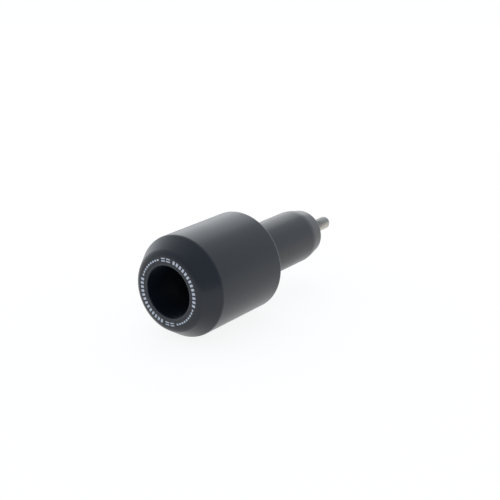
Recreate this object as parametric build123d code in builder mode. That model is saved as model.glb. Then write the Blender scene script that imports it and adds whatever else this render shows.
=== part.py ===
from build123d import *
from math import radians, tan
import os

os.makedirs("parts", exist_ok=True)

# Motorcycle frame slider, in millimetres.
# The axis of the bolt runs along Y: the nose points to -Y, the free thread to +Y.
# The origin is the centre of the face that seats on the frame.

# Bobbin, the round nylon body that meets the ground
bobbin_diameter = 60.0
bobbin_length = 66.5
nose_length = 11.6
nose_face_diameter = 45.4
nose_edge_round = 5.0
shoulder_round = 3.0
rear_edge_chamfer = 0.8

# Deep socket in the nose, where the bolt head is reached
socket_bore_diameter = 30.8
socket_bore_depth = 42.0
socket_mouth_chamfer = 0.6

# Core sleeve, the flanged tube that carries the clamping load through the nylon
sleeve_diameter = 16.0
flange_diameter = 36.4
flange_thickness = 1.5
flange_edge_chamfer = 0.3
sleeve_end_chamfer = 0.5

# Spacer between the bobbin and the frame
spacer_diameter = 33.2
spacer_length = 65.0
spacer_taper_length = 10.9
spacer_taper_blend = 20.0
seat_diameter = 28.4
seat_edge_chamfer = 0.5
spacer_edge_chamfer = 0.5
bore_edge_chamfer = 0.5

# Socket head cap screw, M8
shank_diameter = 8.0
thread_diameter = 7.9
thread_length = 27.0
thread_runout = 1.0
tip_chamfer = 1.2
head_diameter = 13.0
head_height = 8.0
head_edge_chamfer = 0.8
hex_across_flats = 6.0
hex_turn = 30.0
hex_depth = 4.5
hex_mouth_diameter = 7.4
hex_mouth_chamfer = 0.4
drill_point_angle = 118.0

# Plain washer under the bolt head
washer_diameter = 24.0
washer_thickness = 2.0
washer_edge_chamfer = 0.4

# Clearances, all on the radius
bolt_clearance = 0.5
washer_clearance = 0.3
press_clearance = 0.02

# Places along Y, worked out from the seat towards the nose
flange_face = -spacer_length
bobbin_rear = flange_face - flange_thickness
bobbin_nose = bobbin_rear - bobbin_length
socket_floor = bobbin_nose + socket_bore_depth
floor_thickness = bobbin_rear - socket_floor
head_seat = socket_floor - washer_thickness
head_top = head_seat - head_height
hex_floor = head_top + hex_depth
drill_point_depth = hex_across_flats / 2 / tan(radians(drill_point_angle / 2))

bolt_hole_radius = shank_diameter / 2 + bolt_clearance
print(f"The bolt is {thread_length - head_seat:.1f} mm long under its head")

# Ways along the axis
to_frame = 1
to_nose = -1


def axial_plane(y, facing=to_frame):
    """The plane square to the bolt's axis at y, facing the frame or the nose."""
    return Plane(origin=(0, y, 0), x_dir=(1, 0, 0), z_dir=(0, facing, 0))


def corner(sketch, x, y):
    """The corner of a sketch that lies at this place."""
    return min(sketch.vertices(), key=lambda v: abs(v.X - x) + abs(v.Y - y))


def rim(shape, radius, y):
    """The round edge of a turned shape that has this radius and lies at this place on the axis."""
    rims = shape.edges().filter_by(GeomType.CIRCLE)
    return min(rims, key=lambda e: abs(e.radius - radius) + abs(e.arc_center.Y - y))


# Bobbin: a turned bar with a coned nose, bored deep from the nose and drilled for the sleeve
with BuildPart() as bobbin:
    with BuildSketch(Plane.XY) as bobbin_profile:
        with BuildLine():
            Polyline(
                (0, bobbin_nose),
                (nose_face_diameter / 2, bobbin_nose),
                (bobbin_diameter / 2, bobbin_nose + nose_length),
                (bobbin_diameter / 2, bobbin_rear),
                (0, bobbin_rear),
                close=True,
            )
        make_face()
        fillet(corner(bobbin_profile, nose_face_diameter / 2, bobbin_nose), nose_edge_round)
        fillet(corner(bobbin_profile, bobbin_diameter / 2, bobbin_nose + nose_length), shoulder_round)
        chamfer(corner(bobbin_profile, bobbin_diameter / 2, bobbin_rear), rear_edge_chamfer)
    revolve(axis=Axis.Y)
    with Locations(axial_plane(bobbin_nose, to_nose)):
        CounterBoreHole(
            radius=sleeve_diameter / 2 + press_clearance,
            counter_bore_radius=socket_bore_diameter / 2,
            counter_bore_depth=socket_bore_depth,
        )
    chamfer(rim(bobbin, socket_bore_diameter / 2, bobbin_nose), socket_mouth_chamfer)
bobbin.part.label = "bobbin"
export_step(bobbin.part, "parts/bobbin.step")

# Core sleeve: a tube through the bobbin's floor, with a thin flange that shows as a bright ring behind it
with BuildPart() as core_sleeve:
    with BuildSketch(axial_plane(bobbin_rear)):
        Circle(flange_diameter / 2)
    extrude(amount=flange_thickness)
    with BuildSketch(axial_plane(bobbin_rear)):
        Circle(sleeve_diameter / 2)
    extrude(amount=-floor_thickness)
    chamfer(rim(core_sleeve, flange_diameter / 2, flange_face), flange_edge_chamfer)
    chamfer(rim(core_sleeve, sleeve_diameter / 2, socket_floor), sleeve_end_chamfer)
    with Locations(axial_plane(flange_face)):
        Hole(radius=bolt_hole_radius)
core_sleeve.part.label = "core_sleeve"
export_step(core_sleeve.part, "parts/core_sleeve.step")

# Spacer: a turned bar that tapers to its seat on the frame, drilled through for the bolt
with BuildPart() as spacer:
    with BuildSketch(Plane.XY) as spacer_profile:
        with BuildLine():
            Polyline(
                (0, flange_face),
                (spacer_diameter / 2, flange_face),
                (spacer_diameter / 2, -spacer_taper_length),
                (seat_diameter / 2, 0),
                (0, 0),
                close=True,
            )
        make_face()
        fillet(corner(spacer_profile, spacer_diameter / 2, -spacer_taper_length), spacer_taper_blend)
    revolve(axis=Axis.Y)
    with Locations(axial_plane(0)):
        Hole(radius=bolt_hole_radius)
    chamfer(rim(spacer, seat_diameter / 2, 0), seat_edge_chamfer)
    chamfer(rim(spacer, spacer_diameter / 2, flange_face), spacer_edge_chamfer)
    chamfer(rim(spacer, bolt_hole_radius, 0), bore_edge_chamfer)
spacer.part.label = "spacer"
export_step(spacer.part, "parts/spacer.step")

# Washer: pressed plate that spreads the head's load over the sleeve's end and the nylon
with BuildPart() as head_washer:
    with BuildSketch(axial_plane(head_seat)):
        Circle(washer_diameter / 2)
        Circle(shank_diameter / 2 + washer_clearance, mode=Mode.SUBTRACT)
    extrude(amount=washer_thickness)
    chamfer(rim(head_washer, washer_diameter / 2, head_seat), washer_edge_chamfer)
head_washer.part.label = "head_washer"
export_step(head_washer.part, "parts/head_washer.step")

# Bolt: shank, threaded end at its major diameter, and a round head with a hexagon socket
with BuildPart() as bolt:
    with BuildSketch(Plane.XY):
        with BuildLine():
            Polyline(
                (0, head_top),
                (head_diameter / 2, head_top),
                (head_diameter / 2, head_seat),
                (shank_diameter / 2, head_seat),
                (shank_diameter / 2, -thread_runout),
                (thread_diameter / 2, 0),
                (thread_diameter / 2, thread_length - tip_chamfer),
                (thread_diameter / 2 - tip_chamfer, thread_length),
                (0, thread_length),
                close=True,
            )
        make_face()
    revolve(axis=Axis.Y)
    chamfer(rim(bolt, head_diameter / 2, head_top), head_edge_chamfer)
    with BuildSketch(axial_plane(head_top)):
        RegularPolygon(radius=hex_across_flats / 2, side_count=6, major_radius=False, rotation=hex_turn)
    extrude(amount=hex_depth, mode=Mode.SUBTRACT)
    with BuildSketch(Plane.XY):
        with BuildLine():
            Polyline(
                (0, hex_floor),
                (hex_across_flats / 2, hex_floor),
                (0, hex_floor + drill_point_depth),
                close=True,
            )
        make_face()
        with BuildLine():
            Polyline(
                (0, head_top),
                (hex_mouth_diameter / 2, head_top),
                (hex_mouth_diameter / 2 - hex_mouth_chamfer, head_top + hex_mouth_chamfer),
                (0, head_top + hex_mouth_chamfer),
                close=True,
            )
        make_face()
    revolve(axis=Axis.Y, mode=Mode.SUBTRACT)
bolt.part.label = "bolt"
export_step(bolt.part, "parts/bolt.step")
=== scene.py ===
# %% [markdown]
# A motorcycle frame slider, laid on its side on a white table. The slider is a stack of turned parts on
# one long screw: a black nylon bobbin that meets the ground in a fall, a flanged aluminium sleeve that
# carries the clamping load through the nylon, a black anodised spacer, and a socket head screw with a
# washer under its head.

# %% The frame
from math import cos, hypot, pi, radians, sin, tan

import bmesh
import bpy
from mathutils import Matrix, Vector


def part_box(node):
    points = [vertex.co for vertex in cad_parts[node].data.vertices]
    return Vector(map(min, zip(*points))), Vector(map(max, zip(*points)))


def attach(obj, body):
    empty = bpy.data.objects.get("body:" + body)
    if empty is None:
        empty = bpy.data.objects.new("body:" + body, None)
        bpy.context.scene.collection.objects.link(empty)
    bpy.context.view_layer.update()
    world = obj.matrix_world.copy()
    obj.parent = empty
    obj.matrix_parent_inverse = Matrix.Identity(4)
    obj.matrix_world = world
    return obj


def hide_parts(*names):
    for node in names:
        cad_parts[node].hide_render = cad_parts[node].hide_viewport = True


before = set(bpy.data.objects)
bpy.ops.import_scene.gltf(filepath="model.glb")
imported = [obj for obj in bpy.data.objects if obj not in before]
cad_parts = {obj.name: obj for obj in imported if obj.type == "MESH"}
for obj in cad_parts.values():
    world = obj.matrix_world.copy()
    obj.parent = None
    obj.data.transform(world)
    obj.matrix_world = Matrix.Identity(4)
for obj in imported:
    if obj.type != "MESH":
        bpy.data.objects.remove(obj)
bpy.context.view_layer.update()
print("Solids:", sorted(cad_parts))

# %% [markdown]
# The axis of the screw is the Y axis. The nose of the bobbin points to -Y and the thread to +Y.
# What the solids already say is read from their boxes. The sizes that a box can't give, such as the cone
# of the nose and its bore, are written in millimetres in the cell that first needs them.

# %% Places and outer sizes
mm = 0.001

bobbin_low, bobbin_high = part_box("bobbin")
sleeve_low, sleeve_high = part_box("core_sleeve")
_, spacer_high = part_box("spacer")
_, washer_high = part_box("head_washer")
bolt_low, bolt_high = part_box("bolt")

nose_y = bobbin_low.y
bobbin_rear_y = bobbin_high.y
bobbin_radius = bobbin_high.x
socket_floor_y = sleeve_low.y
flange_front_y = bobbin_rear_y
flange_back_y = sleeve_high.y
flange_radius = sleeve_high.x
spacer_radius = spacer_high.x
seat_y = spacer_high.y
washer_radius = washer_high.x
head_height = 8.0 * mm
head_top_y = bolt_low.y
head_seat_y = head_top_y + head_height
head_radius = bolt_high.x
tip_y = bolt_high.y
print("The bobbin is", round((bobbin_rear_y - nose_y) / mm, 1), "mm long")

# %% [markdown]
# The camera stands a little above the slider, in front of it and to its right, and has a long lens.
# Its place and its two angles are enough, because it has no roll.

# %% Camera
camera_place = Vector((0.3698, -0.5530, 0.2186))
camera_azimuth = radians(36.70)
camera_tilt = radians(19.16)
lens_length = 78.0

looking = Vector((
    -sin(camera_azimuth) * cos(camera_tilt),
    cos(camera_azimuth) * cos(camera_tilt),
    -sin(camera_tilt),
))
camera_data = bpy.data.cameras.new("camera")
camera_data.lens = lens_length
camera = bpy.data.objects.new("camera", camera_data)
camera.location = camera_place
camera.rotation_euler = looking.to_track_quat("-Z", "Y").to_euler()
bpy.context.scene.collection.objects.link(camera)
bpy.context.scene.camera = camera
print("The camera looks along", [round(part, 3) for part in looking])

# %% [markdown]
# A few small helpers come first. A Blender operator works on everything that is selected, so each step
# starts by clearing the selection and opening one piece in edit mode. Edges are then picked by their place:
# on a turned piece a round edge is fully named by its radius and its place on the axis.

# %% Helpers for picking
close_enough = 0.01 * mm


def deselect_all():
    """Nothing is selected, so the next operator touches only what it is given."""
    bpy.ops.object.select_all(action="DESELECT")


def select_only(piece):
    """One piece is selected and active, so the next operator works on it alone."""
    deselect_all()
    piece.select_set(True)
    bpy.context.view_layer.objects.active = piece


def start_edit(piece, kind):
    """Open one piece in edit mode, with nothing in it selected. kind is VERT, EDGE or FACE."""
    select_only(piece)
    bpy.ops.object.mode_set(mode="EDIT")
    bpy.ops.mesh.select_mode(type=kind)
    bpy.ops.mesh.select_all(action="DESELECT")


def end_edit():
    """Back to object mode, which writes the edit to the mesh."""
    bpy.ops.object.mode_set(mode="OBJECT")


def on_ring(point, radius, y):
    """Whether a point lies on the circle of this radius round the axis, at this place on it."""
    return abs(hypot(point.x, point.z) - radius) < close_enough and abs(point.y - y) < close_enough


def ring_edges(mesh, radius, y):
    """The edges that make up one circle round the axis."""
    return [edge for edge in mesh.edges if all(on_ring(v.co, radius, y) for v in edge.verts)]


print("Picking helpers are ready")

# %% [markdown]
# Every part here is round about one axis, and most are made on a lathe. The same can be done by hand in
# Blender: add a circle, extrude it from one place on the axis to the next, and scale it to the radius it
# has there. Spinning a half outline would give the same mesh, but the extrude and scale steps read like
# the turner's own passes. A hollow part ends where it began, and merging by distance closes the seam. A
# full part starts as a disc and keeps its two end faces.

# %% Turning
same_point = close_enough / 10


def turned(name, outline, steps, full=False):
    """A turned piece. The outline is a list of (radius, y) and goes once round the section."""
    (radius, y), *stations = outline
    deselect_all()
    bpy.ops.mesh.primitive_circle_add(
        vertices=steps,
        radius=radius,
        fill_type="NGON" if full else "NOTHING",
        location=(0, y, 0),
        rotation=(pi / 2, 0, 0),
    )
    piece = bpy.context.object
    piece.name = name
    piece.data.name = name
    bpy.ops.object.transform_apply(location=True, rotation=True, scale=True)
    start_edit(piece, "FACE" if full else "EDGE")
    bpy.ops.mesh.select_all(action="SELECT")
    for next_radius, next_y in stations:
        bpy.ops.mesh.extrude_region_move(TRANSFORM_OT_translate={"value": (0, next_y - y, 0)})
        share = next_radius / radius
        bpy.ops.transform.resize(value=(share, 1, share), center_override=(0, next_y, 0))
        radius, y = next_radius, next_y
    bpy.ops.mesh.select_all(action="SELECT")
    bpy.ops.mesh.remove_doubles(threshold=same_point)
    bpy.ops.mesh.normals_make_consistent(inside=False)
    end_edit()
    return piece


print("Turning helper is ready")

# %% [markdown]
# A turned edge is never sharp. The bevel tool asks how far it reaches along each face, while a drawing
# gives a radius, so the reach is worked out from the angle between the two faces.
# Each finished mesh is then shaded smooth up to an angle, and counted: a closed piece has no open edges.

# %% Edges
def round_edge(piece, radius, y, size, segments):
    """Round one circular edge to a radius, or with one segment break it with a chamfer of that size."""
    start_edit(piece, "EDGE")
    mesh = bmesh.from_edit_mesh(piece.data)
    edges = ring_edges(mesh, radius, y)
    for edge in edges:
        edge.select_set(True)
    turn = edges[0].calc_face_angle()
    reach = size if segments == 1 else size * tan(turn / 2)
    bmesh.update_edit_mesh(piece.data)
    bpy.ops.mesh.bevel(offset=reach, offset_type="OFFSET", segments=segments, affect="EDGES")
    end_edit()


def smooth(piece, sharp_above):
    """Smooth shading up to an angle in degrees, with large faces deciding the shading at their borders."""
    select_only(piece)
    bpy.ops.object.shade_smooth_by_angle(angle=radians(sharp_above))
    bpy.ops.object.modifier_add(type="WEIGHTED_NORMAL")
    piece.modifiers[-1].keep_sharp = True
    bpy.ops.object.modifier_apply(modifier=piece.modifiers[-1].name)


def open_edges(piece):
    """The number of edges that don't have exactly two faces. A closed piece has none."""
    mesh = bmesh.new()
    mesh.from_mesh(piece.data)
    count = sum(not edge.is_manifold for edge in mesh.edges)
    mesh.free()
    return count


print("Edge helpers are ready")

# %% [markdown]
# The bobbin is a bar of black nylon, coned and well rounded at the nose, where it slides on the ground.
# A deep bore lets a key reach the screw's head, and its floor has a hole for the sleeve.
# The outline goes from the rear face round the outside, into the bore and back through the sleeve's hole.

# %% Bobbin
bobbin_steps = 192
nose_length = 11.6 * mm
nose_face_radius = 22.7 * mm
nose_edge_round = 5.0 * mm
shoulder_round = 3.0 * mm
rear_edge_round = 0.8 * mm
bore_radius = 15.4 * mm
bore_mouth_round = 0.7 * mm
bore_floor_round = 0.5 * mm
sleeve_radius = 8.0 * mm
press_gap = 0.02 * mm
shoulder_y = nose_y + nose_length
sleeve_hole_radius = sleeve_radius + press_gap

bobbin = turned(
    "nylon_bobbin",
    [
        (sleeve_hole_radius, bobbin_rear_y),
        (bobbin_radius, bobbin_rear_y),
        (bobbin_radius, shoulder_y),
        (nose_face_radius, nose_y),
        (bore_radius, nose_y),
        (bore_radius, socket_floor_y),
        (sleeve_hole_radius, socket_floor_y),
        (sleeve_hole_radius, bobbin_rear_y),
    ],
    bobbin_steps,
)
round_edge(bobbin, bobbin_radius, shoulder_y, shoulder_round, segments=8)
round_edge(bobbin, nose_face_radius, nose_y, nose_edge_round, segments=14)
round_edge(bobbin, bobbin_radius, bobbin_rear_y, rear_edge_round, segments=6)
round_edge(bobbin, bore_radius, socket_floor_y, bore_floor_round, segments=4)
round_edge(bobbin, bore_radius, nose_y, bore_mouth_round, segments=5)
smooth(bobbin, sharp_above=30)
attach(bobbin, "root")
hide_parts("bobbin")
print("Bobbin:", len(bobbin.data.polygons), "faces,", open_edges(bobbin), "open edges")

# %% [markdown]
# The spacer is a plain aluminium bar that tapers to the face that seats on the motorcycle's frame.
# It is drilled right through, with a little room round the screw.

# %% Spacer
spacer_steps = 160
taper_length = 10.9 * mm
taper_blend = 20.0 * mm
seat_radius = 14.2 * mm
screw_hole_radius = 4.5 * mm
seat_edge_round = 0.5 * mm
bar_edge_chamfer = 0.5 * mm
taper_start_y = seat_y - taper_length

spacer = turned(
    "anodised_spacer",
    [
        (screw_hole_radius, flange_back_y),
        (spacer_radius, flange_back_y),
        (spacer_radius, taper_start_y),
        (seat_radius, seat_y),
        (screw_hole_radius, seat_y),
        (screw_hole_radius, flange_back_y),
    ],
    spacer_steps,
)
round_edge(spacer, spacer_radius, taper_start_y, taper_blend, segments=6)
round_edge(spacer, seat_radius, seat_y, seat_edge_round, segments=5)
for edge_radius, edge_y in (
    (spacer_radius, flange_back_y),
    (screw_hole_radius, seat_y),
    (screw_hole_radius, flange_back_y),
):
    round_edge(spacer, edge_radius, edge_y, bar_edge_chamfer, segments=1)
smooth(spacer, sharp_above=10)
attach(spacer, "root")
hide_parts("spacer")
print("Spacer:", len(spacer.data.polygons), "faces,", open_edges(spacer), "open edges")

# %% [markdown]
# The sleeve is a short tube with a thin flange. Only the rim of the flange shows, as a bright ring
# between the nylon and the black spacer.

# %% Sleeve
sleeve_steps = 160
flange_edge_chamfer = 0.3 * mm
tube_end_chamfer = 0.5 * mm

sleeve = turned(
    "flanged_sleeve",
    [
        (screw_hole_radius, flange_back_y),
        (flange_radius, flange_back_y),
        (flange_radius, flange_front_y),
        (sleeve_radius, flange_front_y),
        (sleeve_radius, socket_floor_y),
        (screw_hole_radius, socket_floor_y),
        (screw_hole_radius, flange_back_y),
    ],
    sleeve_steps,
)
round_edge(sleeve, flange_radius, flange_back_y, flange_edge_chamfer, segments=1)
round_edge(sleeve, flange_radius, flange_front_y, flange_edge_chamfer, segments=1)
round_edge(sleeve, sleeve_radius, socket_floor_y, tube_end_chamfer, segments=1)
smooth(sleeve, sharp_above=30)
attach(sleeve, "root")
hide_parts("core_sleeve")
print("Sleeve:", len(sleeve.data.polygons), "faces,", open_edges(sleeve), "open edges")

# %% [markdown]
# The washer is stamped from plate, so one of its edges is rounded and the other is crisp. It is made with
# the same helper, because it is round too.

# %% Washer
washer_steps = 128
washer_hole_radius = 4.3 * mm
washer_edge_round = 0.4 * mm

washer = turned(
    "plain_washer",
    [
        (washer_hole_radius, washer_high.y),
        (washer_radius, washer_high.y),
        (washer_radius, head_seat_y),
        (washer_hole_radius, head_seat_y),
        (washer_hole_radius, washer_high.y),
    ],
    washer_steps,
)
round_edge(washer, washer_radius, head_seat_y, washer_edge_round, segments=5)
smooth(washer, sharp_above=30)
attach(washer, "root")
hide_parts("head_washer")
print("Washer:", len(washer.data.polygons), "faces,", open_edges(washer), "open edges")

# %% [markdown]
# The screw takes the most work. Its head, shank and run-out are turned first, as a full piece. Four of the
# rings round the head are there for its knurl, and the shank ends a little inside the thread, so that the
# two can be joined.

# %% Screw blank
screw_steps = 120
shank_radius = 4.0 * mm
thread_root_radius = 3.27 * mm
runout_length = 1.0 * mm
core_overlap = 0.4 * mm
head_edge_round = 0.8 * mm
knurl_rim = 1.2 * mm
knurl_slope = 0.25 * mm
knurl_front_y = head_top_y + knurl_rim
knurl_back_y = head_seat_y - knurl_rim
groove_front_y = knurl_front_y + knurl_slope
groove_back_y = knurl_back_y - knurl_slope
thread_start_y = seat_y - runout_length

screw = turned(
    "socket_head_screw",
    [
        (thread_root_radius - core_overlap, seat_y + core_overlap),
        (thread_root_radius, seat_y),
        (shank_radius, thread_start_y),
        (shank_radius, head_seat_y),
        (head_radius, head_seat_y),
        (head_radius, knurl_back_y),
        (head_radius, groove_back_y),
        (head_radius, groove_front_y),
        (head_radius, knurl_front_y),
        (head_radius, head_top_y),
    ],
    screw_steps,
    full=True,
)
round_edge(screw, head_radius, head_top_y, head_edge_round, segments=6)
print("Screw blank:", len(screw.data.polygons), "faces,", open_edges(screw), "open edges")

# %% [markdown]
# The knurl gives the fingers a grip. Every second point of its two inner rings is pulled a little towards
# the axis, which leaves straight grooves between two plain rims.

# %% Knurl
knurl_depth = 0.16 * mm

start_edit(screw, "VERT")
screw_mesh = bmesh.from_edit_mesh(screw.data)
for ring_y in (groove_back_y, groove_front_y):
    ring = [v for v in screw_mesh.verts if on_ring(v.co, head_radius, ring_y)]
    ring.sort(key=lambda v: Vector((v.co.x, v.co.z)).angle_signed(Vector((1, 0))))
    for groove_point in ring[::2]:
        groove_point.select_set(True)
bmesh.update_edit_mesh(screw.data)
groove_share = (head_radius - knurl_depth) / head_radius
bpy.ops.transform.resize(value=(groove_share, 1, groove_share), center_override=(0, head_top_y, 0))
end_edit()
print("Screw with its knurl:", len(screw.data.polygons), "faces,", open_edges(screw), "open edges")

# %% [markdown]
# The thread is a coarse M8 thread. A bump map would be cheaper, but the outline of a thread shows, so it is
# real. One pitch of its section is drawn first, as a short line beside the axis: a plane is merged to one
# point, and the point is extruded along the root, up a flank, along the crest and down again.

# %% Thread section
pitch = 1.25 * mm
crest_radius = 3.95 * mm
crest_flat = pitch / 8
root_flat = pitch / 4
flank = (pitch - crest_flat - root_flat) / 2
rise = crest_radius - thread_root_radius
thread_lead = 1.6 * pitch
winding_start_y = thread_start_y - thread_lead

deselect_all()
bpy.ops.mesh.primitive_plane_add(size=pitch, location=(0, 0, 0))
thread = bpy.context.object
thread.name = "thread"
start_edit(thread, "VERT")
bpy.ops.mesh.select_all(action="SELECT")
bpy.ops.mesh.merge(type="CENTER")
bpy.ops.transform.translate(value=(thread_root_radius, winding_start_y, 0))
for move in ((0, root_flat, 0), (rise, flank, 0), (0, crest_flat, 0), (-rise, flank, 0)):
    bpy.ops.mesh.extrude_vertices_move(TRANSFORM_OT_translate={"value": move})
end_edit()
print("The thread's section has", len(thread.data.vertices), "points")

# %% [markdown]
# The Screw modifier winds the section up the axis, past both ends of the thread. Bisect then cuts the
# winding off square at each end and closes it, which makes it a solid that can be joined to the shank.

# %% Winding
thread_steps = 64
spare_turns = 2
exact = 0.0001 * mm

bpy.ops.object.modifier_add(type="SCREW")
winding = thread.modifiers[-1]
winding.axis = "Y"
winding.angle = 2 * pi
winding.screw_offset = pitch
winding.iterations = int((tip_y - winding_start_y) / pitch) + spare_turns
winding.steps = thread_steps
winding.render_steps = thread_steps
winding.use_merge_vertices = True
winding.merge_threshold = same_point
bpy.ops.object.modifier_apply(modifier=winding.name)

start_edit(thread, "EDGE")
bpy.ops.mesh.select_all(action="SELECT")
bpy.ops.mesh.remove_doubles(threshold=same_point)
for end_y, clear_before, clear_after in ((thread_start_y, True, False), (tip_y, False, True)):
    bpy.ops.mesh.select_all(action="SELECT")
    bpy.ops.mesh.bisect(
        plane_co=(0, end_y, 0),
        plane_no=(0, 1, 0),
        use_fill=True,
        clear_inner=clear_before,
        clear_outer=clear_after,
        threshold=exact,
    )
bpy.ops.mesh.select_all(action="SELECT")
bpy.ops.mesh.normals_make_consistent(inside=False)
end_edit()
print("Wound thread:", len(thread.data.polygons), "faces,", open_edges(thread), "open edges")

# %% [markdown]
# The thread's tip is chamfered by trimming it with a blank, which is wider than the thread everywhere but
# at its tip. Then thread and shank are joined. Both steps are booleans between closed pieces.

# %% Joining the screw
tip_chamfer = 1.2 * mm
blank_radius = 4.4 * mm
point_radius = crest_radius - tip_chamfer


def boolean(piece, tool, operation):
    """Join, cut or trim a piece with a closed tool, which is used up."""
    select_only(piece)
    bpy.ops.object.modifier_add(type="BOOLEAN")
    modifier = piece.modifiers[-1]
    modifier.operation = operation
    modifier.solver = "EXACT"
    modifier.object = tool
    bpy.ops.object.modifier_apply(modifier=modifier.name)
    bpy.data.objects.remove(tool)


trim = turned(
    "trim",
    [
        (blank_radius, thread_start_y - pitch),
        (blank_radius, tip_y - (blank_radius - point_radius)),
        (point_radius, tip_y),
    ],
    screw_steps,
    full=True,
)
boolean(thread, trim, "INTERSECT")
boolean(screw, thread, "UNION")
print("Screw with its thread:", len(screw.data.polygons), "faces,", open_edges(screw), "open edges")

# %% [markdown]
# The hexagon socket is cut like the real one: a drilled hole with its cone at the bottom, a hexagon
# punched down to it, and a small countersink at the mouth. Each tool is a closed turned shape, and the
# hexagon is a turned shape with only six steps.

# %% Hexagon socket
across_flats = 6.0 * mm
socket_depth = 4.5 * mm
mouth_radius = 3.7 * mm
mouth_chamfer = 0.4 * mm
drill_point_angle = 118
drill_tip_radius = 0.05 * mm
past_face = 0.5 * mm
hexagon_steps = 6
tool_steps = 48

hexagon_floor_y = head_top_y + socket_depth
hexagon_corner_radius = across_flats / 2 / cos(pi / hexagon_steps)
drill_radius = across_flats / 2
drill_cone_length = (drill_radius - drill_tip_radius) / tan(radians(drill_point_angle / 2))

hexagon_tool = turned(
    "hexagon_tool",
    [
        (hexagon_corner_radius, head_top_y - past_face),
        (hexagon_corner_radius, hexagon_floor_y),
    ],
    hexagon_steps,
    full=True,
)
drill_tool = turned(
    "drill_tool",
    [
        (drill_radius, head_top_y - past_face),
        (drill_radius, hexagon_floor_y),
        (drill_tip_radius, hexagon_floor_y + drill_cone_length),
    ],
    tool_steps,
    full=True,
)
countersink_tool = turned(
    "countersink_tool",
    [
        (mouth_radius + past_face, head_top_y - past_face),
        (mouth_radius - mouth_chamfer, head_top_y + mouth_chamfer),
    ],
    tool_steps,
    full=True,
)
for tool in (hexagon_tool, drill_tool, countersink_tool):
    boolean(screw, tool, "DIFFERENCE")
smooth(screw, sharp_above=25)
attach(screw, "root")
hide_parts("bolt")
print("Finished screw:", len(screw.data.polygons), "faces,", open_edges(screw), "open edges")

# %% [markdown]
# Round the bore the bobbin carries a ring of pale print, a plain scale of ticks and dashes. Ink is a thin
# film with an outline of its own, so each mark is a flat pad with rounded corners. One pad of a row is
# modelled and turned to its place, and Spin with duplicates lays out the others.

# %% Printed row
ink_thickness = 0.01 * mm
ink_corner = 0.12 * mm
ink_corner_steps = 2
clockwise = (0, -1, 0)


def spin_copies(steps, degrees):
    """Copy what is selected round the axis, in steps that share this angle."""
    bpy.ops.mesh.spin(steps=steps, dupli=True, angle=radians(degrees), center=(0, 0, 0), axis=clockwise)


def printed_row(width, height, radius, first, spacing, count):
    """A row of printed pads round the bore. Angles are in degrees, clockwise from the top."""
    deselect_all()
    bpy.ops.mesh.primitive_plane_add(size=1, location=(0, nose_y, radius), rotation=(pi / 2, 0, 0))
    row = bpy.context.object
    row.scale = (width, height, 1)
    bpy.ops.object.transform_apply(location=True, rotation=True, scale=True)
    start_edit(row, "VERT")
    bpy.ops.mesh.select_all(action="SELECT")
    bpy.ops.mesh.bevel(offset=ink_corner, segments=ink_corner_steps, affect="VERTICES")
    bpy.ops.mesh.select_mode(type="FACE")
    bpy.ops.mesh.select_all(action="SELECT")
    bpy.ops.mesh.extrude_region_move(TRANSFORM_OT_translate={"value": (0, -ink_thickness, 0)})
    bpy.ops.mesh.select_all(action="SELECT")
    bpy.ops.mesh.normals_make_consistent(inside=False)
    spin_copies(1, first)
    bpy.ops.mesh.select_all(action="INVERT")
    bpy.ops.mesh.delete(type="VERT")
    bpy.ops.mesh.select_all(action="SELECT")
    spin_copies(count - 1, spacing * (count - 1))
    end_edit()
    return row


print("The row helper is ready")

# %% [markdown]
# Each half of the ring has tall ticks, then small ticks, and two pairs of dashes at its start. The other
# half is the same, half a turn further on. All rows are then joined to one piece, as one print.

# %% Printed scale
print_radius = 18.8 * mm
dash_offset = 0.7 * mm
half_turn = 180.0
half_ring = [
    # width, height, distance from the axis, first angle, spacing, count
    (1.4 * mm, 2.1 * mm, print_radius, 15.0, 7.25, 13),
    (1.3 * mm, 1.0 * mm, print_radius, 110.5, 6.1, 9),
    (2.8 * mm, 0.65 * mm, print_radius - dash_offset, -8.5, 11.0, 2),
    (2.8 * mm, 0.65 * mm, print_radius + dash_offset, -8.5, 11.0, 2),
]

rows = []
for side in (0.0, half_turn):
    for width, height, radius, first, spacing, count in half_ring:
        rows.append(printed_row(width, height, radius, side + first, spacing, count))

deselect_all()
for row in rows:
    row.select_set(True)
bpy.context.view_layer.objects.active = rows[0]
bpy.ops.object.join()
nose_scale = bpy.context.object
nose_scale.name = "nose_scale"
nose_scale.data.name = "nose_scale"
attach(nose_scale, "root")
print("Printed scale:", len(nose_scale.data.polygons), "faces,", open_edges(nose_scale), "open edges")

# %% [markdown]
# Now the finishes. Three effects are used by several materials or in several places, so each is a node
# group that is built once. They need a few helpers, which add a node and give back its result.

# %% Node helpers
def node_group(name, inputs, outputs):
    """An empty shader group with float sockets. inputs are (name, default value), outputs are names."""
    tree = bpy.data.node_groups.new(name, "ShaderNodeTree")
    for socket_name, value in inputs:
        socket = tree.interface.new_socket(name=socket_name, in_out="INPUT", socket_type="NodeSocketFloat")
        socket.default_value = value
    for socket_name in outputs:
        tree.interface.new_socket(name=socket_name, in_out="OUTPUT", socket_type="NodeSocketFloat")
    return tree, tree.nodes.new("NodeGroupInput").outputs, tree.nodes.new("NodeGroupOutput").inputs


def plug(tree, value, socket):
    """Give a socket a link or a plain value."""
    if isinstance(value, bpy.types.NodeSocket):
        tree.links.new(value, socket)
    else:
        socket.default_value = value


def calculate(tree, operation, *values):
    """One Math node, and its result."""
    node = tree.nodes.new("ShaderNodeMath")
    node.operation = operation
    for value, socket in zip(values, node.inputs):
        plug(tree, value, socket)
    return node.outputs["Value"]


print("Node helpers are ready")

# %% [markdown]
# The first effect is what a lathe leaves on every surface it cuts: fine rings round the axis. A ring is a
# place where neither y nor the distance from the axis changes, so noise along the sum of the two draws
# rings on straight walls, cones and end faces alike. Reading Object coordinates fixes them to the part.

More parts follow.
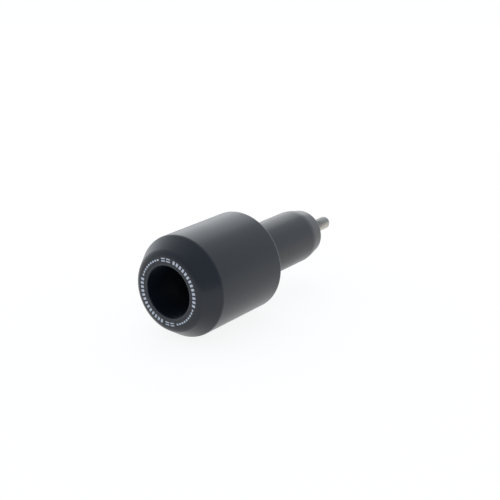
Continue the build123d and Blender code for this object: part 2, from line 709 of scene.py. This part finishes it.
# %% Turning lines group
line_detail = 2.0


def axis_and_radius(tree):
    """The place along the axis and the distance from it, from Object coordinates."""
    place = tree.nodes.new("ShaderNodeSeparateXYZ")
    tree.links.new(tree.nodes.new("ShaderNodeTexCoord").outputs["Object"], place.inputs["Vector"])
    across = calculate(tree, "MULTIPLY", place.outputs["X"], place.outputs["X"])
    square = calculate(tree, "MULTIPLY_ADD", place.outputs["Z"], place.outputs["Z"], across)
    return place.outputs["Y"], calculate(tree, "SQRT", square)


def noise_line(tree, along, scale):
    """Noise that changes only along one value."""
    node = tree.nodes.new("ShaderNodeTexNoise")
    node.noise_dimensions = "1D"
    node.inputs["Detail"].default_value = line_detail
    plug(tree, scale, node.inputs["Scale"])
    plug(tree, along, node.inputs["W"])
    return node.outputs["Fac"]


turning_tree, given, result = node_group(
    "turning_lines", [("Lines", 5000.0), ("Bands", 500.0)], ["Height", "Bands"]
)
along_axis, from_axis = axis_and_radius(turning_tree)
ring_place = calculate(turning_tree, "ADD", along_axis, from_axis)
turning_tree.links.new(noise_line(turning_tree, ring_place, given["Lines"]), result["Height"])
turning_tree.links.new(noise_line(turning_tree, ring_place, given["Bands"]), result["Bands"])
print("Group turning_lines gives", [socket.name for socket in result if socket.name])

# %% [markdown]
# The second effect is grain: fine noise for the matt bloom of nylon, of anodising and of ink, and a slow
# cloud that keeps a large surface from having the same gloss all over.

# %% Surface grain group
grain_detail = 2.0
cloud_detail = 3.0


def noise_volume(tree, scale, detail):
    """Noise that changes in every direction."""
    node = tree.nodes.new("ShaderNodeTexNoise")
    node.inputs["Detail"].default_value = detail
    plug(tree, scale, node.inputs["Scale"])
    tree.links.new(tree.nodes.new("ShaderNodeTexCoord").outputs["Object"], node.inputs["Vector"])
    return node.outputs["Fac"]


grain_tree, given, result = node_group(
    "surface_grain", [("Grain", 9000.0), ("Cloud", 60.0)], ["Grain", "Cloud"]
)
grain_tree.links.new(noise_volume(grain_tree, given["Grain"], grain_detail), result["Grain"])
grain_tree.links.new(noise_volume(grain_tree, given["Cloud"], cloud_detail), result["Cloud"])
print("Group surface_grain gives", [socket.name for socket in result if socket.name])

# %% [markdown]
# The third is a painted highlight along an edge: a soft line along one circle, named by its radius and its
# place on the axis, where the colour is a little lighter than the face beside it.

# %% Painted edge highlight group
# Its mask marks a painted highlight: a lighter colour along one edge.
edge_tree, given, result = node_group(
    "painted_edge_highlight", [("Radius", 0.03), ("Place", 0.0), ("Width", 0.001)], ["Mask"]
)
along_axis, from_axis = axis_and_radius(edge_tree)
off_radius = calculate(edge_tree, "SUBTRACT", from_axis, given["Radius"])
off_place = calculate(edge_tree, "SUBTRACT", along_axis, given["Place"])
square = calculate(edge_tree, "MULTIPLY", off_radius, off_radius)
distance = calculate(edge_tree, "SQRT", calculate(edge_tree, "MULTIPLY_ADD", off_place, off_place, square))
falloff = edge_tree.nodes.new("ShaderNodeMapRange")
falloff.interpolation_type = "SMOOTHSTEP"
falloff.inputs["To Min"].default_value = 1.0
falloff.inputs["To Max"].default_value = 0.0
edge_tree.links.new(distance, falloff.inputs["Value"])
edge_tree.links.new(given["Width"], falloff.inputs["From Max"])
edge_tree.links.new(falloff.outputs["Result"], result["Mask"])
print("Group painted_edge_highlight gives", [socket.name for socket in result if socket.name])

# %% [markdown]
# A material is then a Principled shader with its plain values on its own sockets, and with the groups
# feeding only what changes over the surface: colour, roughness and the height of a bump.

# %% Material helpers
def new_material(name):
    """A new material, its node tree and its Principled shader."""
    material = bpy.data.materials.new(name)
    material.use_nodes = True
    return material, material.node_tree, material.node_tree.nodes["Principled BSDF"]


def place_group(tree, group, **values):
    """A node group in a material, with its own values. Input names are given in lower case."""
    node = tree.nodes.new("ShaderNodeGroup")
    node.node_tree = group
    for socket in node.inputs:
        if socket.name.lower() in values:
            plug(tree, values[socket.name.lower()], socket)
    return node.outputs


def spread(tree, value, low, high):
    """Stretch a 0 to 1 value between two others."""
    node = tree.nodes.new("ShaderNodeMapRange")
    node.inputs["To Min"].default_value = low
    node.inputs["To Max"].default_value = high
    tree.links.new(value, node.inputs["Value"])
    return node.outputs["Result"]


def blend_values(tree, share, first, second):
    """A value between two, of which the first has this share."""
    rest = calculate(tree, "MULTIPLY", second, 1 - share)
    return calculate(tree, "MULTIPLY_ADD", first, share, rest)


def blend_colours(tree, amount, first, second):
    """A colour between two, the first where the amount is 0."""
    node = tree.nodes.new("ShaderNodeMix")
    node.data_type = "RGBA"
    colours = [socket for socket in node.inputs if socket.type == "RGBA"]
    plug(tree, amount, node.inputs["Factor"])
    plug(tree, first, colours[0])
    plug(tree, second, colours[1])
    return next(socket for socket in node.outputs if socket.type == "RGBA")


def bump(tree, shader, height, depth):
    """Feed a height, in metres at full scale, to the shader's normal."""
    node = tree.nodes.new("ShaderNodeBump")
    node.inputs["Distance"].default_value = depth
    tree.links.new(height, node.inputs["Height"])
    tree.links.new(node.outputs["Normal"], shader.inputs["Normal"])


def dress(piece, material):
    """The piece wears this material and no other."""
    piece.data.materials.clear()
    piece.data.materials.append(material)


print("Material helpers are ready")

# %% [markdown]
# Black nylon is satin: matt enough to have no clear reflection, with a slight sheen towards its outline.
# The sheen has a value of its own on the shader, because a low gloss alone leaves the outline too dark.
# Its rear rim and, more faintly, the mouth of its bore carry a painted highlight: a lighter colour
# along the edge, where the nylon is also a touch smoother.

# %% Nylon
nylon_dark = (0.005, 0.009, 0.015, 1)
nylon_light = (0.008, 0.013, 0.020, 1)
# A painted highlight: the light colour laid along the rear rim and the mouth of the bore.
nylon_painted_highlight = (0.17, 0.18, 0.20, 1)
nylon_roughness = (0.25, 0.33)
highlight_rim_smoother = -0.06
rear_rim_width = 1.6 * mm
mouth_rim_width = 1.3 * mm
mouth_strength = 0.25
band_share = 0.4
line_share = 0.6
nylon_relief = 0.004 * mm

nylon, tree, shader = new_material("satin_black_nylon")
shader.inputs["IOR"].default_value = 1.48
shader.inputs["Sheen Weight"].default_value = 0.1
shader.inputs["Sheen Roughness"].default_value = 0.4
shader.inputs["Sheen Tint"].default_value = (0.9, 0.95, 1.0, 1)
lines = place_group(tree, turning_tree, lines=4000.0, bands=350.0)
grain = place_group(tree, grain_tree, grain=7000.0, cloud=45.0)
rear_rim = place_group(tree, edge_tree, radius=bobbin_radius, place=bobbin_rear_y, width=rear_rim_width)
mouth_rim = place_group(tree, edge_tree, radius=bore_radius, place=nose_y, width=mouth_rim_width)
# The mask of the painted highlights: full on the rear rim, a quarter strength on the bore's mouth.
painted_highlight_mask = calculate(tree, "MULTIPLY_ADD", mouth_rim["Mask"], mouth_strength, rear_rim["Mask"])
shade = blend_values(tree, band_share, lines["Bands"], grain["Cloud"])
body_colour = blend_colours(tree, shade, nylon_dark, nylon_light)
tree.links.new(blend_colours(tree, painted_highlight_mask, body_colour, nylon_painted_highlight), shader.inputs["Base Color"])
matt = spread(tree, grain["Cloud"], *nylon_roughness)
tree.links.new(calculate(tree, "MULTIPLY_ADD", painted_highlight_mask, highlight_rim_smoother, matt), shader.inputs["Roughness"])
bump(tree, shader, blend_values(tree, line_share, lines["Height"], grain["Grain"]), nylon_relief)
dress(bobbin, nylon)
print("Material:", nylon.name)

# %% [markdown]
# Black anodising keeps the turned lines of the bar under it. It is harder and a little glossier than nylon,
# and the edge of its seat face carries a slightly brighter colour, a painted highlight.

# %% Black anodising
anodised_dark = (0.008, 0.011, 0.016, 1)
anodised_light = (0.014, 0.018, 0.024, 1)
# A painted highlight: the lighter colour along the edge of the seat face.
anodised_painted_highlight = (0.060, 0.063, 0.070, 1)
anodised_roughness = (0.24, 0.34)
seat_rim_width = 0.9 * mm
turned_relief = 0.003 * mm

anodised, tree, shader = new_material("black_anodised_aluminium")
shader.inputs["IOR"].default_value = 1.54
lines = place_group(tree, turning_tree, lines=6000.0, bands=900.0)
grain = place_group(tree, grain_tree, grain=9000.0, cloud=70.0)
seat_rim = place_group(tree, edge_tree, radius=seat_radius, place=seat_y, width=seat_rim_width)
body_colour = blend_colours(tree, lines["Bands"], anodised_dark, anodised_light)
# The seat rim mask lays the painted highlight on the spacer's colour.
anodised_colour = blend_colours(tree, seat_rim["Mask"], body_colour, anodised_painted_highlight)
tree.links.new(anodised_colour, shader.inputs["Base Color"])
tree.links.new(spread(tree, grain["Cloud"], *anodised_roughness), shader.inputs["Roughness"])
bump(tree, shader, lines["Height"], turned_relief)
dress(spacer, anodised)
print("Material:", anodised.name)

# %% [markdown]
# The sleeve is bare aluminium, bright and a little soft from the turning tool.

# %% Bare aluminium
aluminium_dark = (0.60, 0.61, 0.63, 1)
aluminium_light = (0.78, 0.79, 0.81, 1)
aluminium_roughness = (0.28, 0.40)

aluminium, tree, shader = new_material("turned_aluminium")
shader.inputs["Metallic"].default_value = 1.0
lines = place_group(tree, turning_tree, lines=5000.0, bands=1200.0)
grain = place_group(tree, grain_tree, grain=9000.0, cloud=120.0)
aluminium_colour = blend_colours(tree, lines["Bands"], aluminium_dark, aluminium_light)
tree.links.new(aluminium_colour, shader.inputs["Base Color"])
tree.links.new(spread(tree, grain["Cloud"], *aluminium_roughness), shader.inputs["Roughness"])
bump(tree, shader, lines["Height"], turned_relief)
dress(sleeve, aluminium)
print("Material:", aluminium.name)

# %% [markdown]
# Stainless steel is warmer and darker than aluminium. The screw and its washer share it.

# %% Stainless steel
steel_dark = (0.47, 0.45, 0.41, 1)
steel_light = (0.63, 0.61, 0.56, 1)
steel_roughness = (0.24, 0.38)
steel_relief = 0.002 * mm

steel, tree, shader = new_material("stainless_steel")
shader.inputs["Metallic"].default_value = 1.0
lines = place_group(tree, turning_tree, lines=8000.0, bands=1500.0)
grain = place_group(tree, grain_tree, grain=12000.0, cloud=250.0)
steel_colour = blend_colours(tree, grain["Cloud"], steel_dark, steel_light)
tree.links.new(steel_colour, shader.inputs["Base Color"])
tree.links.new(spread(tree, grain["Cloud"], *steel_roughness), shader.inputs["Roughness"])
bump(tree, shader, lines["Height"], steel_relief)
dress(screw, steel)
dress(washer, steel)
print("Material:", steel.name)

# %% [markdown]
# The ink is a matt off-white with a fine speckle, as pad printing leaves on a turned surface.

# %% Ink
ink_thin = (0.58, 0.61, 0.66, 1)
ink_full = (0.82, 0.85, 0.90, 1)
ink_roughness = 0.6

ink, tree, shader = new_material("pale_ink")
shader.inputs["Roughness"].default_value = ink_roughness
grain = place_group(tree, grain_tree, grain=5000.0, cloud=400.0)
tree.links.new(blend_colours(tree, grain["Grain"], ink_thin, ink_full), shader.inputs["Base Color"])
dress(nose_scale, ink)
print("Material:", ink.name)

# %% [markdown]
# The slider lies on a wide white table under soft light. The table takes shadows as any matt surface does,
# and the camera, gloss and glass see most of it as a white glow, so that it stays white without more lamps.

# %% Table
table_half_width = 6.0
table_colour = (0.85, 0.85, 0.86, 1)
glow_colour = (1, 1, 1, 1)
glow_share = 0.8
glow_strength = 1.1
middle = Vector((0, (nose_y + tip_y) / 2, 0))

deselect_all()
bpy.ops.mesh.primitive_plane_add(size=2 * table_half_width, location=(0, middle.y, -bobbin_radius))
table = bpy.context.object
table.name = "table"
table_paint = bpy.data.materials.new("white_table")
table_paint.use_nodes = True
tree = table_paint.node_tree
tree.nodes.remove(tree.nodes["Principled BSDF"])
matt_paint = tree.nodes.new("ShaderNodeBsdfDiffuse")
matt_paint.inputs["Color"].default_value = table_colour
glow = tree.nodes.new("ShaderNodeEmission")
glow.inputs["Color"].default_value = glow_colour
glow.inputs["Strength"].default_value = glow_strength
path = tree.nodes.new("ShaderNodeLightPath").outputs
seen = calculate(tree, "MAXIMUM", path["Is Camera Ray"], path["Is Glossy Ray"])
seen = calculate(tree, "MAXIMUM", seen, path["Is Transmission Ray"])
mix = tree.nodes.new("ShaderNodeMixShader")
unseen_socket, seen_socket = mix.inputs[1:]
tree.links.new(calculate(tree, "MULTIPLY", seen, glow_share), mix.inputs["Fac"])
tree.links.new(matt_paint.outputs["BSDF"], unseen_socket)
tree.links.new(glow.outputs["Emission"], seen_socket)
tree.links.new(mix.outputs["Shader"], tree.nodes["Material Output"].inputs["Surface"])
dress(table, table_paint)
print("The table lies at z =", round(-bobbin_radius / mm, 1), "mm")

# %% [markdown]
# The slider stands between a dimmer near wall and a bright far wall, which is why its front is dark and its
# outline light. The room changes smoothly from one to the other. Camera, gloss and glass all see it as it
# is, and behind the slider it is white.

# %% Room
near_wall_colour = (0.44, 0.50, 0.58, 1)
far_wall_colour = (1.16, 1.20, 1.25, 1)
far_wall_azimuth = radians(217)
far_wall_height = radians(-25)


def direction(azimuth, height):
    """The way from the slider to a place in the room. Azimuth 0 is before the nose, 90 to its right."""
    return Vector((sin(azimuth) * cos(height), -cos(azimuth) * cos(height), sin(height)))


room = bpy.data.worlds.new("white_room")
bpy.context.scene.world = room
room.use_nodes = True
tree = room.node_tree
facing = tree.nodes.new("ShaderNodeVectorMath")
facing.operation = "DOT_PRODUCT"
looked_at, towards = facing.inputs[:2]
tree.links.new(tree.nodes.new("ShaderNodeTexCoord").outputs["Generated"], looked_at)
towards.default_value = direction(far_wall_azimuth, far_wall_height)
nearness = tree.nodes.new("ShaderNodeMapRange")
nearness.interpolation_type = "SMOOTHSTEP"
nearness.inputs["From Min"].default_value = -1.0
tree.links.new(facing.outputs["Value"], nearness.inputs["Value"])
room_colour = blend_colours(tree, nearness.outputs["Result"], near_wall_colour, far_wall_colour)
tree.links.new(room_colour, tree.nodes["Background"].inputs["Color"])
print("The near wall is", near_wall_colour[:3], "and the far wall", far_wall_colour[:3])

# %% [markdown]
# One large soft lamp stands behind the slider, above the picture's upper edge. It draws the light band
# along the top of the bobbin and the spacer and throws the shadow towards the camera.

# %% Lamp
lamp_azimuth = far_wall_azimuth
lamp_height = radians(25)
lamp_distance = 1.2
lamp_side = 0.9
lamp_power = 1.5

lamp_way = direction(lamp_azimuth, lamp_height)
lamp_data = bpy.data.lights.new("back_lamp", "AREA")
lamp_data.size = lamp_side
lamp_data.energy = lamp_power
lamp = bpy.data.objects.new("back_lamp", lamp_data)
lamp.location = middle + lamp_distance * lamp_way
lamp.rotation_euler = (-lamp_way).to_track_quat("-Z", "Y").to_euler()
bpy.context.scene.collection.objects.link(lamp)
print("One soft lamp is lit")

# %% [markdown]
# The Standard view shows a colour as it is written, so white stays white and the finishes can be judged.

# %% View
bpy.context.scene.view_settings.view_transform = "Standard"
print("View:", bpy.context.scene.view_settings.view_transform)
